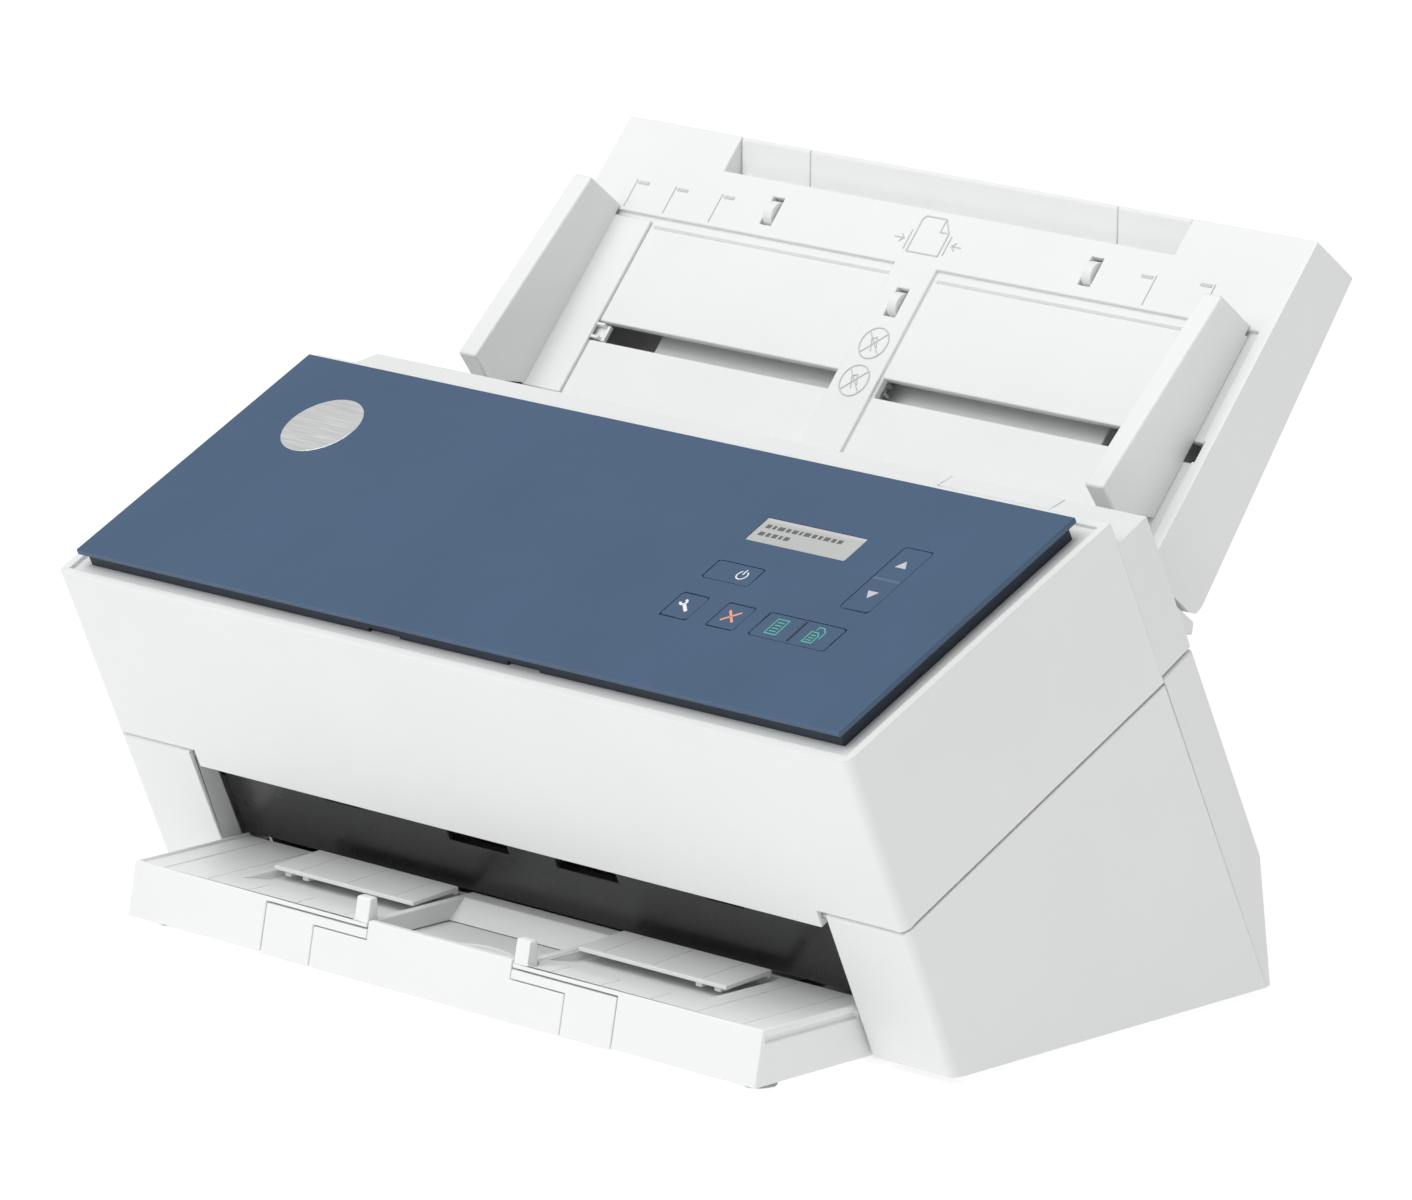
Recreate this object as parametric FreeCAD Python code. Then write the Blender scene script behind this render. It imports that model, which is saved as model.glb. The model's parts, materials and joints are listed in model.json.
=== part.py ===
import FreeCAD, Part
import math
import os

# A3-width desktop sheet fed document scanner.
# Frame: +X to the operator's right, -Y towards the operator, +Z up.
# Origin: on the table, under the middle of the whole machine. Units: millimetres.

V = FreeCAD.Vector

# ---------------------------------------------------------------- driving dimensions
FOOT_H = 3.0            # underside of the casing above the table
HALF_W = 195.5          # half width of the casing
HALF_W_REAR = 189.6     # half width after the long rear chamfers
PILLAR_IN = 158.3       # inner faces of the two front pillars
TONGUE = 154.6          # half width of the hatch front below the seam
FRAME_IN = 153.0        # inner faces of the steel side frames
PATH = 151.5            # half width of the paper path
WALL = 3.0              # casing wall
CORNER_R = 3.6          # rounding of the two front corners of the casing
SEAM_GAP = 0.4          # half of the shadow gap between hatch and base

SEAM_FRONT = (-109.6, 57.3)   # y, z of the front end of the seam
SEAM_TILT = 26.5              # seam and paper path rise to the rear
TOP_FRONT = (-133.7, 129.4)   # front edge of the control panel plate
TOP_TILT = 25.3
TRAY_BASE = (72.4, 194.0)     # reference point on the input tray's face
TRAY_TILT = 49.86
RIM_FRONT = (-136.9, 120.9)
RIM_REAR = (-10.8, 180.2)
BORDER_FOOT = (69.3, FOOT_H)  # lower end of the border between side and rear covers
STRIP_REAR = (13.4, 177.45)
REAR_SEAM = (36.3, 127.6)     # rear end of the seam, on the rear covers
REAR_KINK = (72.0, 48.5)
REAR_Y = 72.0
FRONT_FOOT = (-86.3, FOOT_H)

PAPER_N = -9.0          # paper plane, below the seam plane
PATH_GAP = 0.5          # half of the space between the two paper guides
PINCH_GAP = 0.15        # half of the space left between facing rollers

PANEL_W = 188.6
PANEL_L = 124.8
PANEL_T = 2.2
KEY_GAP = 0.3

TRAY_W = 168.6
TRAY_TOP = 77.1         # upper end of the tray, along its face
TRAY_LOW = -55.8
TRAY_T_TOP = 24.2
TRAY_T_LOW = 33.1
BED_TOP = 39.5
BED_DEPTH = 1.5
SKIN = 3.0
STRIP_W = 10.2          # half width of the central strip on the tray
ARM_SLOT = (-12.8, -4.8)
ARM_SLOT_END = 164.6
ARM_MID = -8.8
GUIDE_IN = 150.0        # guides stand at A3 width
GUIDE_T = 8.8
NOTCH_W = 110.6         # pull notch at the top of the tray
STAGE2_W = 75.2

PINION_R = 10.0
PINION_TEETH = 16
TOOTH_H = 1.0
TOOTH_W = 1.2

OUT_W = 156.4           # output tray
OUT_FRONT_LOW = (-140.7, FOOT_H)
OUT_FRONT_TOP = (-136.7, 22.4)
OUT_REAR = -83.0
EXT1_W = 87.2
EXT2_W = 62.4
LIP_IN = 36.5

SHAFT_R = 3.0
RUN_FIT = 0.06          # radial clearance of a shaft in its hole
DRIVE_R = 7.0
PINCH_R = 6.0
PICK_R = 12.0
SEP_R = 9.0
PULLEY_R = 9.0
PICK_PULLEY_R = 5.5
MOTOR_PULLEY_R = 6.0

HINGE = (2.9, -3.0)     # hatch pivot in the seam frame
HINGE_R = 1.5


# ---------------------------------------------------------------- helpers
class Slope:
    """A tilted plane seen from the side: s runs up the slope, n is normal to it."""

    def __init__(self, origin, tilt):
        self.y, self.z = origin
        self.c = math.cos(math.radians(tilt))
        self.k = math.sin(math.radians(tilt))

    def at(self, s, n):
        return (self.y + s * self.c - n * self.k, self.z + s * self.k + n * self.c)

    def along(self, length=1.0):
        return V(0, self.c * length, self.k * length)

    def normal(self, length=1.0):
        return V(0, -self.k * length, self.c * length)

    def prism(self, points, x0, x1):
        return prism([self.at(s, n) for s, n in points], x0, x1)

    def block(self, x0, x1, s0, s1, n0, n1):
        return self.prism([(s0, n0), (s1, n0), (s1, n1), (s0, n1)], x0, x1)

    def rod(self, s, n, r, x0, x1):
        y, z = self.at(s, n)
        return rod(y, z, r, x0, x1)

    def boss(self, x, s, n0, n1, r):
        y, z = self.at(s, n0)
        return Part.makeCylinder(r, n1 - n0, V(x, y, z), self.normal())


def prism(points, x0, x1):
    corners = [V(x0, y, z) for y, z in points]
    face = Part.Face(Part.makePolygon(corners + corners[:1]))
    return face.extrude(V(x1 - x0, 0, 0))


def block(x0, x1, y0, y1, z0, z1):
    return Part.makeBox(x1 - x0, y1 - y0, z1 - z0, V(x0, y0, z0))


def rod(y, z, r, x0, x1):
    return Part.makeCylinder(r, x1 - x0, V(x0, y, z), V(1, 0, 0))


def fuse(*shapes):
    whole = shapes[0].multiFuse(list(shapes[1:])) if len(shapes) > 1 else shapes[0]
    return whole.removeSplitter()


def cut(shape, *tools):
    return shape.cut(Part.makeCompound(list(tools))) if tools else shape


def round_edge(shape, x, start, end, radius):
    """Rounds the edge that runs from start to end, both (y, z), in the plane at x."""
    ends = V(x, *start), V(x, *end)
    for edge in shape.Edges:
        corners = [vertex.Point for vertex in edge.Vertexes]
        if all(any(corner.isEqual(point, 0.01) for corner in corners) for point in ends):
            return shape.makeFillet(radius, [edge])
    raise ValueError("no edge there")


def both_sides(shape):
    return [shape, shape.mirror(V(0, 0, 0), V(1, 0, 0))]


def save(name, *shapes):
    solids = []
    for shape in shapes:
        solids.extend(shape.Solids)
    whole = solids[0] if len(solids) == 1 else Part.makeCompound(solids)
    whole.exportStep("parts/" + name + ".step")
    print(name, len(solids), "solids", round(sum(s.Volume for s in solids) / 1000.0, 1), "cm3",
          "ok" if all(s.isValid() for s in solids) else "NOT VALID")


seam = Slope(SEAM_FRONT, SEAM_TILT)
top = Slope(TOP_FRONT, TOP_TILT)
rim = Slope(RIM_FRONT, TOP_TILT)
tray = Slope(TRAY_BASE, TRAY_TILT)
PILLAR_TILT = math.degrees(math.atan2(SEAM_FRONT[1] - FRONT_FOOT[1], SEAM_FRONT[0] - FRONT_FOOT[0]))
front = Slope(FRONT_FOOT, PILLAR_TILT)      # s runs up the front face, n points out of it
BORDER_TILT = math.degrees(math.atan2(RIM_REAR[1] - BORDER_FOOT[1], RIM_REAR[0] - BORDER_FOOT[0]))
border = Slope(BORDER_FOOT, BORDER_TILT)    # s runs up the border, n points to the front


def border_at(z):
    s = (z - border.z) / border.k
    return border.at(s, 0)


def rear_chamfers():
    """Two long wedges that take the corners off behind the border line."""
    dy = STRIP_REAR[0] - border.y
    dz = STRIP_REAR[1] - border.z
    depth = border.c * dz - border.k * dy
    y0, z0 = border.at(-20.0, 0)
    y1, z1 = border.at(-20.0, depth * 2)
    slope = (HALF_W - HALF_W_REAR) * 2
    corners = [V(HALF_W, y0, z0), V(HALF_W - slope, y1, z1), V(HALF_W + 9, y1, z1), V(HALF_W + 9, y0, z0)]
    wedge = Part.Face(Part.makePolygon(corners + corners[:1])).extrude(border.along(260.0))
    return both_sides(wedge)


def hatch_front(height):
    """(y, z) on the hatch's front face, at a height above its lower edge."""
    y, z = seam.at(0, SEAM_GAP)
    share = height / math.hypot(RIM_FRONT[0] - y, RIM_FRONT[1] - z)
    return y + share * (RIM_FRONT[0] - y), z + share * (RIM_FRONT[1] - z)


# ---------------------------------------------------------------- base
def side_covers():
    seam_end = border_at(seam.at(140.6, 0)[1])
    outline = [FRONT_FOOT, seam.at(0, -SEAM_GAP), (seam_end[0], seam_end[1] - 0.5), BORDER_FOOT]
    cover = prism(outline, PILLAR_IN, HALF_W)
    cover = round_edge(cover, HALF_W, outline[0], outline[1], CORNER_R)
    knuckle = seam.rod(HINGE[0], HINGE[1], 3.2, PILLAR_IN - 1, HALF_W + 1)
    corner = seam.block(PILLAR_IN - 1, HALF_W + 1, -3, HINGE[0], HINGE[1], 1)
    cover = cut(cover, corner.cut(knuckle))
    inner_top = -SEAM_GAP - WALL
    pocket = [front.at(-5, -WALL), front.at(52.0, -WALL), seam.at(5, inner_top), seam.at(160, inner_top),
              (90, 60), (90, -10), (-80, -10)]
    cover = cut(cover, prism(pocket, PILLAR_IN + WALL, HALF_W - WALL))
    behind = [front.at(-10, -9.5), front.at(45.0, -9.5), seam.at(12, inner_top), seam.at(170, inner_top),
              (95, 60), (95, -10), (-70, -12)]
    cover = cut(cover, prism(behind, PILLAR_IN - 1, HALF_W - WALL))
    lip = seam.prism([(13, inner_top), (13, -SEAM_GAP), (139, -SEAM_GAP), (138, inner_top)],
                     FRAME_IN + 2.6, PILLAR_IN + 1)
    cover = fuse(cover, lip)
    hook_slot = seam.block(HOOK_X[0] - 2, HOOK_X[1] + 2, 119.0, 135.0, -8, 2)
    belt_slot = seam.block(163.0, 173.0, 116.0, 150.0, -8, 2)
    pin_hole = seam.rod(HINGE[0], HINGE[1], HINGE_R, PILLAR_IN - 1, PILLAR_IN + WALL + 10)
    socket = seam.rod(HINGE[0], HINGE[1], 2.6, PILLAR_IN + 0.5, PILLAR_IN + 10)
    cover = fuse(cover, socket)
    cover = cut(cover, hook_slot, belt_slot, pin_hole)
    right, left = both_sides(cover)
    save("right_side_cover", right)
    save("left_side_cover", left)


def hinge_pins():
    pin = seam.rod(HINGE[0], HINGE[1], HINGE_R, TONGUE - 5.0, PILLAR_IN + 9.0)
    save("hinge_pins", *both_sides(pin))


def rear_cover():
    y, z = border_at(121.9)
    outline = [(y + 0.4, z), REAR_SEAM, REAR_KINK, (REAR_Y, FOOT_H), BORDER_FOOT]
    cover = cut(prism(outline, -HALF_W, HALF_W), *rear_chamfers())
    inner = [border_at(118.0), (REAR_SEAM[0] - 4.2, REAR_SEAM[1] - 4.3),
             (REAR_KINK[0] - 3.2, REAR_KINK[1] - 0.6),
             (REAR_Y - WALL, -5), (40, -5), (-10, 90)]
    cover = cut(cover, prism(inner, -HALF_W_REAR + 3.2, HALF_W_REAR - 3.2))
    mouth = [(5, 108), (REAR_SEAM[0] - 3.4, 108), (REAR_SEAM[0] - 1.8, 124), (REAR_SEAM[0] - 1.8, 135),
             (5, 135)]
    cover = cut(cover, prism(mouth, -174.0, 174.0))
    jack_hole = Part.makeCylinder(5.6, 12, V(-150, REAR_Y - 8, 24), V(0, 1, 0))
    usb_hole = block(-126.5, -113.5, REAR_Y - 8, REAR_Y + 2, 18, 30.5)
    vents = [block(x, x + 4, REAR_Y - 8, REAR_Y + 2, 14, 36) for x in range(90, 151, 10)]
    cover = cut(cover, jack_hole, usb_hole, *vents)
    save("rear_cover", cover)


def chassis():
    floor = block(-191.5, 191.5, -78.0, 66.0, FOOT_H, FOOT_H + 3)
    floor = cut(floor, block(-162.0, 162.0, -100, -75.0, -1, 20))
    ribs = []
    for x in (-120.0, 120.0):
        ribs.append(block(x - 1.5, x + 1.5, -76.0, 58.0, FOOT_H + 3, 18.0))
    save("base_chassis", fuse(floor, *ribs))


def side_frames():
    outline = [seam.at(16, PAPER_N + 4.5), seam.at(103, PAPER_N + 4.5), tray.at(-112, 3.5), tray.at(-66, 3.5),
               tray.at(-66, -4), (27, 119), (58, 50), (58, FOOT_H + 3.2), (-70, FOOT_H + 3.2),
               seam.at(16, -30)]
    plate = prism(outline, FRAME_IN, FRAME_IN + 1.5)
    holes = [slope.rod(s, n, SHAFT_R + RUN_FIT, FRAME_IN - 5, FRAME_IN + 5)
             for slope, s, n in DRIVE_SHAFTS.values()]
    window = block(FRAME_IN - 5, FRAME_IN + 5, -46, 30, 14, 46)
    flange = block(FRAME_IN + 1.5, FRAME_IN + 14, -66, 55, FOOT_H + 3.2, FOOT_H + 4.7)
    plate = fuse(cut(plate, window, *holes), flange)
    save("side_frames", *both_sides(plate))


DRIVE_N = PAPER_N - PINCH_GAP - DRIVE_R
PICK_N = 0.2 - PICK_R
EXIT_S = 21.5
FEED_S = 92.0
PICK_S = -95.0
DRIVE_SHAFTS = {"exit": (seam, EXIT_S, DRIVE_N), "feed": (seam, FEED_S, DRIVE_N),
                "pick": (tray, PICK_S, PICK_N)}
TYRES = {"exit": [(-27, 24), (27, 24), (-95, 14), (95, 14)],
         "feed": [(-95, 14), (-33, 16), (33, 16), (95, 14)],
         "pick": [(-16, 18), (16, 18)]}
LOWER_GLASS = (40.0, 56.0)
UPPER_GLASS = (62.0, 78.0)


def roller(slope, s, n, r, tyres, x0, x1, shaft_r=SHAFT_R):
    """A steel shaft with rubber tyres; returns the shaft and the joined tyres."""
    shaft = slope.rod(s, n, shaft_r, x0, x1)
    rings = []
    for x, w in tyres:
        ring = slope.rod(s, n, r, x - w / 2.0, x + w / 2.0)
        rings.append(cut(ring, slope.rod(s, n, shaft_r, x - w, x + w)))
    return shaft, rings


def lower_guides():
    guide = seam.block(-PATH, PATH, 13.2, 106.0, PAPER_N - PATH_GAP - 2.6, PAPER_N - PATH_GAP)
    slots = []
    for s, kind in ((EXIT_S, "exit"), (FEED_S, "feed")):
        for x, w in TYRES[kind]:
            slots.append(seam.block(x - w / 2.0 - 1, x + w / 2.0 + 1, s - 8, s + 8, -30, 0))
    slots.append(seam.block(-PATH + 2, PATH - 2, LOWER_GLASS[0], LOWER_GLASS[1], -30, 0))
    save("lower_paper_guide", cut(guide, *slots))
    ramp = tray.block(-PATH, PATH, -124.0, -62.6, -2.6, 0)
    cheeks = []
    for x in (-34.0, 31.0):
        cheek = tray.block(x, x + 3, PICK_S - 9, PICK_S + 9, PICK_N - 6, -2.6)
        cheeks.append(cheek)
    window = tray.block(-27, 27, PICK_S - 13, PICK_S + 13, -3, 1)
    bore = tray.rod(PICK_S, PICK_N, SHAFT_R + RUN_FIT, -60, 60)
    save("inlet_ramp", cut(fuse(ramp, *cheeks), window, bore))
    glass = seam.block(-PATH + 2.2, PATH - 2.2, LOWER_GLASS[0] + 0.2, LOWER_GLASS[1] - 0.2,
                       PAPER_N - PATH_GAP - 2.4, PAPER_N - PATH_GAP - 0.1)
    save("lower_scan_glass", glass)
    module = seam.block(-PATH, PATH, LOWER_GLASS[0] - 3, LOWER_GLASS[1] + 3, -27, PAPER_N - PATH_GAP - 2.7)
    groove = seam.block(-PATH + 6, PATH - 6, LOWER_GLASS[0] + 4, LOWER_GLASS[1] - 4, -24, 0)
    save("lower_scan_module", cut(module, groove))


def exit_panel():
    plate = front.block(-PILLAR_IN + 1.6, PILLAR_IN - 1.6, 17.0, 52.0, -13.4, -10.4)
    above = seam.block(-200, 200, -20, 60, PAPER_N - PATH_GAP, 40)
    panel = cut(plate, above)
    windows = [front.block(x - 15, x + 15, 41.0 - 2.4, 60, -20, 0) for x in (-27, 27)]
    windows += [front.block(x - 9, x + 9, 42.0, 60, -20, 0) for x in (-95, 95)]
    save("exit_panel", cut(panel, *windows))


def drive_train():
    pulleys = {"exit": [(PULLEY_R, -164, -157)],
               "feed": [(PULLEY_R, -164, -157), (PICK_PULLEY_R, -171, -165)],
               "pick": [(PICK_PULLEY_R, -171, -165)]}
    names = {"exit": "exit_drive_roller", "feed": "feed_drive_roller", "pick": "pick_roller"}
    for kind, (slope, s, n) in DRIVE_SHAFTS.items():
        r = PICK_R if kind == "pick" else DRIVE_R
        shaft, rings = roller(slope, s, n, r, TYRES[kind], -172.0, FRAME_IN + 2.5)
        discs = [slope.rod(s, n, disc_r, x0, x1) for disc_r, x0, x1 in pulleys[kind]]
        save(names[kind], fuse(shaft, *discs), *rings)
    y, z = MOTOR
    save("motor_pulley", fuse(rod(y, z, MOTOR_PULLEY_R, -164, -157), rod(y, z, 2.5, -166, -132)))
    body = rod(y, z, 17.0, -140, -108)
    plate = block(-142.5, -140, y - 19, y + 19, FOOT_H + 3.2, z + 17)
    save("drive_motor", cut(fuse(body, plate), rod(y, z, 2.5 + RUN_FIT, -151, -130)))
    exit_at = seam.at(EXIT_S, DRIVE_N)
    feed_at = seam.at(FEED_S, DRIVE_N)
    pick_at = tray.at(PICK_S, PICK_N)
    save("drive_belts",
         belt([exit_at, feed_at, MOTOR], [PULLEY_R, PULLEY_R, MOTOR_PULLEY_R], -163, -158),
         belt([feed_at, pick_at], [PICK_PULLEY_R, PICK_PULLEY_R], -170, -166))


MOTOR = (-30.0, 38.0)
BELT_GAP = 0.3
BELT_T = 1.2


def hull_of_circles(centres, radii, x0, x1):
    """Convex outline around circles, as the union of the circles and of their tangent bands."""
    solids = [rod(y, z, r, x0, x1) for (y, z), r in zip(centres, radii)]
    count = len(centres)
    for i in range(count):
        for j in range(i + 1, count):
            ya, za = centres[i]
            yb, zb = centres[j]
            gap = math.hypot(yb - ya, zb - za)
            turn = math.acos((radii[i] - radii[j]) / gap)
            heading = math.atan2(zb - za, yb - ya)
            band = []
            for k, angle in ((i, turn), (j, turn), (j, -turn), (i, -turn)):
                a = heading + angle
                band.append((centres[k][0] + radii[k] * math.cos(a), centres[k][1] + radii[k] * math.sin(a)))
            solids.append(prism(band, x0, x1))
    if count > 2:
        solids.append(prism(centres, x0, x1))
    return fuse(*solids)


def belt(centres, radii, x0, x1):
    outer = hull_of_circles(centres, [r + BELT_GAP + BELT_T for r in radii], x0, x1)
    inner = hull_of_circles(centres, [r + BELT_GAP for r in radii], x0 - 1, x1 + 1)
    return outer.cut(inner)


def electronics():
    board = block(-176, -60, 60.0, 61.6, 12, 46)
    save("main_board", board)
    jack = block(-156, -144, 61.6, 68.4, 18, 30)
    barrel = Part.makeCylinder(5.4, 2.9, V(-150, 68.4, 24), V(0, 1, 0))
    bore = Part.makeCylinder(2.8, 9.0, V(-150, 71.3 - 9.0, 24), V(0, 1, 0))
    shell = block(-126, -114, 61.6, 71.0, 18.5, 30)
    hollow = block(-124.6, -115.4, 64.0, 72, 19.9, 28.6)
    save("rear_sockets", cut(fuse(jack, barrel), bore), cut(shell, hollow))


def bracket():
    outline = [(-57.2, 0), (-57.2, -32.8), (-61.0, -35.0), (-73.6, -14.4), (-62.2, -3.0), (-62.2, 0)]
    inner = [(-59.9, -4), (-59.9, -31.0), (-61.6, -31.8), (-71.2, -16.0), (-63.6, -7.0)]
    save("tray_bracket", cut(tray.prism(outline, -TRAY_W + 0.2, TRAY_W - 0.2),
                             tray.prism(inner, -TRAY_W + 3, TRAY_W - 3)))


def feet_and_screws():
    pads = []
    for x in (-176.0, 176.0):
        for y in (-62.0, 52.0):
            pads.append(Part.makeCylinder(8.0, FOOT_H, V(x, y, 0)))
    for x in (-146.0, 146.0):
        pads.append(Part.makeCylinder(6.0, FOOT_H, V(x, -128.0, 0)))
    save("rubber_feet", *pads)
    screws = []
    for x in (-183.0, 183.0):
        for y in (-40.0, 30.0):
            head = Part.makeCylinder(3.0, 1.6, V(x, y, FOOT_H - 1.6))
            screws.append(head)
    save("base_screws", *screws)


# ---------------------------------------------------------------- hatch
def hatch_shell():
    seam_end = border_at(seam.at(140.6, 0)[1])
    outline = [seam.at(0, SEAM_GAP), RIM_FRONT, RIM_REAR, border_at(seam_end[1] + 0.5)]
    shell = prism(outline, -HALF_W, HALF_W)
    for x in (-HALF_W, HALF_W):
        shell = round_edge(shell, x, outline[0], outline[1], CORNER_R)
    tongue = prism([hatch_front(-6.8), seam.at(3.2, -6.4), seam.at(3.4, 6.0), hatch_front(5.6)],
                   -TONGUE, TONGUE)
    ear = [(0.5, -5.6), (6.2, -5.6), (6.2, 6.0), (0.9, 6.0)]
    ears = [seam.prism(ear, x, x + 6) for x in (-TONGUE, TONGUE - 6)]
    deck = -1.7
    under = deck - 2.5
    middle = [seam.at(WALL + 0.2, -20), (rim.at(WALL + 0.6, under)), rim.at(150, under), (60, 60)]
    cheek = [seam.at(WALL + 0.2, SEAM_GAP + WALL), rim.at(WALL + 0.6, under), rim.at(150, under),
             (60, 150), seam.at(175, SEAM_GAP + WALL)]
    shell = cut(shell, prism(middle, -FRAME_IN - 2.5, FRAME_IN + 2.5),
                prism(cheek, -HALF_W + WALL, HALF_W - WALL))
    recess = rim.block(-HALF_W + 3.4, HALF_W - 3.4, 3.4, 136.0, deck, 10)
    shell = cut(shell, recess)
    lugs = both_sides(seam.block(160.0, 163.0, 121.0, 135.0, 2.0, HOOK_AXIS[1] + 5))
    shell = fuse(shell, tongue, *ears, *lugs)
    bore = seam.rod(HINGE[0], HINGE[1], HINGE_R + RUN_FIT, -TONGUE - 2, TONGUE + 2)
    shaft_way = seam.rod(HOOK_AXIS[0], HOOK_AXIS[1], 2.5 + RUN_FIT, -165, 165)
    hook_ways = both_sides(seam.block(HOOK_X[0] - 2, HOOK_X[1] + 2, 119.0, 135.0, -1, 8))
    save("hatch_shell", cut(shell, bore, shaft_way, *hook_ways))


def hatch_rear_cover():
    outline = [border_at(172.3), STRIP_REAR, (REAR_SEAM[0] - 0.4, REAR_SEAM[1] + 0.9), border_at(122.9)]
    cover = cut(prism(outline, -HALF_W, HALF_W), *rear_chamfers())
    strip_in = (STRIP_REAR[0] - 2.2, STRIP_REAR[1] - 3.8)
    low_in = (REAR_SEAM[0] - 4.0, REAR_SEAM[1] + 4.6)
    cheek = [(-25, 164.5), strip_in, low_in, (0, 123.0)]
    for x0, x1 in ((-186.0, -THROAT_W - 3), (THROAT_W + 3, 186.0)):
        cover = cut(cover, prism(cheek, x0, x1))
    lip = (STRIP_REAR[0] - 2.9 + 10.2, STRIP_REAR[1] - 3.4 - 22.2)
    middle = [(-25, 164.5), strip_in, lip, (40, lip[1]), (40, 110), (-30, 110)]
    cover = cut(cover, prism(middle, -THROAT_W, THROAT_W))
    window = [(LATCH_Y, 185), (LATCH_Y, 160), (17.2, LATCH_LOW), (40, LATCH_LOW), (40, 185)]
    pin_way = rod(LATCH_PIN[0], LATCH_PIN[1], LATCH_PIN_R + RUN_FIT, LATCH_X[0] - 3.2, LATCH_X[1] + 3.2)
    cover = cut(cover, prism(window, LATCH_X[0] - 0.4, LATCH_X[1] + 0.4), pin_way)
    save("hatch_rear_cover", cover)


THROAT_W = 170.6
LATCH_X = (99.9, 151.9)
LATCH_Y = 5.5
LATCH_LOW = 165.0
LATCH_PIN = (7.3, 174.3)
LATCH_PIN_R = 1.2
HOOK_AXIS = (128.0, 30.0)     # in the seam frame
HOOK_X = (179.0, 183.0)


def strip_z(y):
    y0, z0 = border_at(172.3)
    return z0 + (y - y0) * (STRIP_REAR[1] - z0) / (STRIP_REAR[0] - y0)


def rear_y(z):
    share = (STRIP_REAR[1] - z) / (STRIP_REAR[1] - REAR_SEAM[1])
    return STRIP_REAR[0] + share * (REAR_SEAM[0] - STRIP_REAR[0])


def hatch_latch():
    y0 = LATCH_Y + 0.4
    z1 = LATCH_LOW + 0.4
    outline = [(y0, strip_z(y0)), STRIP_REAR, (rear_y(z1), z1), (rear_y(z1) - 2.6, z1),
               (STRIP_REAR[0] - 2.0, STRIP_REAR[1] - 3.2), (y0, strip_z(y0) - 2.6)]
    lever = prism(outline, LATCH_X[0], LATCH_X[1])
    lever = fuse(lever, rod(LATCH_PIN[0], LATCH_PIN[1], LATCH_PIN_R, LATCH_X[0] - 3, LATCH_X[1] + 3))
    save("hatch_latch_lever", lever)
    shaft = seam.rod(HOOK_AXIS[0], HOOK_AXIS[1], 2.5, -184.0, 184.0)
    s, n = HOOK_AXIS
    hook = seam.prism([(s - 4, n + 4), (s + 4, n + 4), (129.8, -5.6), (131.6, -7.4), (129.0, -11.0),
                       (126.6, -11.0)],
                      HOOK_X[0], HOOK_X[1])
    hooks = both_sides(hook)
    save("latch_hook_shaft", fuse(shaft, *hooks))
    catch = seam.rod(133.9, -7.0, 1.5, 176.0, 188.0)
    plate = seam.block(186.5, 192.3, 129.0, 138.5, -12.0, -3.6)
    save("latch_catches", *both_sides(fuse(catch, plate)))


# key name: x0, x1, s0, s1 on the control panel
KEYS = {
    "power_button": (72.9, 94.9, 57.1, 67.5),
    "tools_button": (72.8, 85.8, 34.9, 48.1),
    "cancel_button": (94.8, 107.9, 34.9, 48.1),
    "scan_rocker": (114.7, 150.4, 35.0, 48.2),
    "scroll_rocker": (137.6, 151.2, 57.6, 93.0),
}
DISPLAY = (73.2, 120.5, 79.8, 93.0)
EMBLEM = (-147.4, 89.6, 15.7)
PIVOT_N = -3.2          # rocking axis of the double keys, below the plate
PIVOT_R = 0.7


def rounded_key(x0, x1, s0, s1, n0, n1, r):
    """A slab on the control panel with its upright corners rounded."""
    slab = top.block(x0, x1, s0, s1, n0, n1)
    upright = []
    for edge in slab.Edges:
        run = edge.Vertexes[1].Point.sub(edge.Vertexes[0].Point)
        if abs(abs(run.dot(top.normal())) - run.Length) < 0.001:
            upright.append(edge)
    return slab.makeFillet(r, upright)


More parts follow.
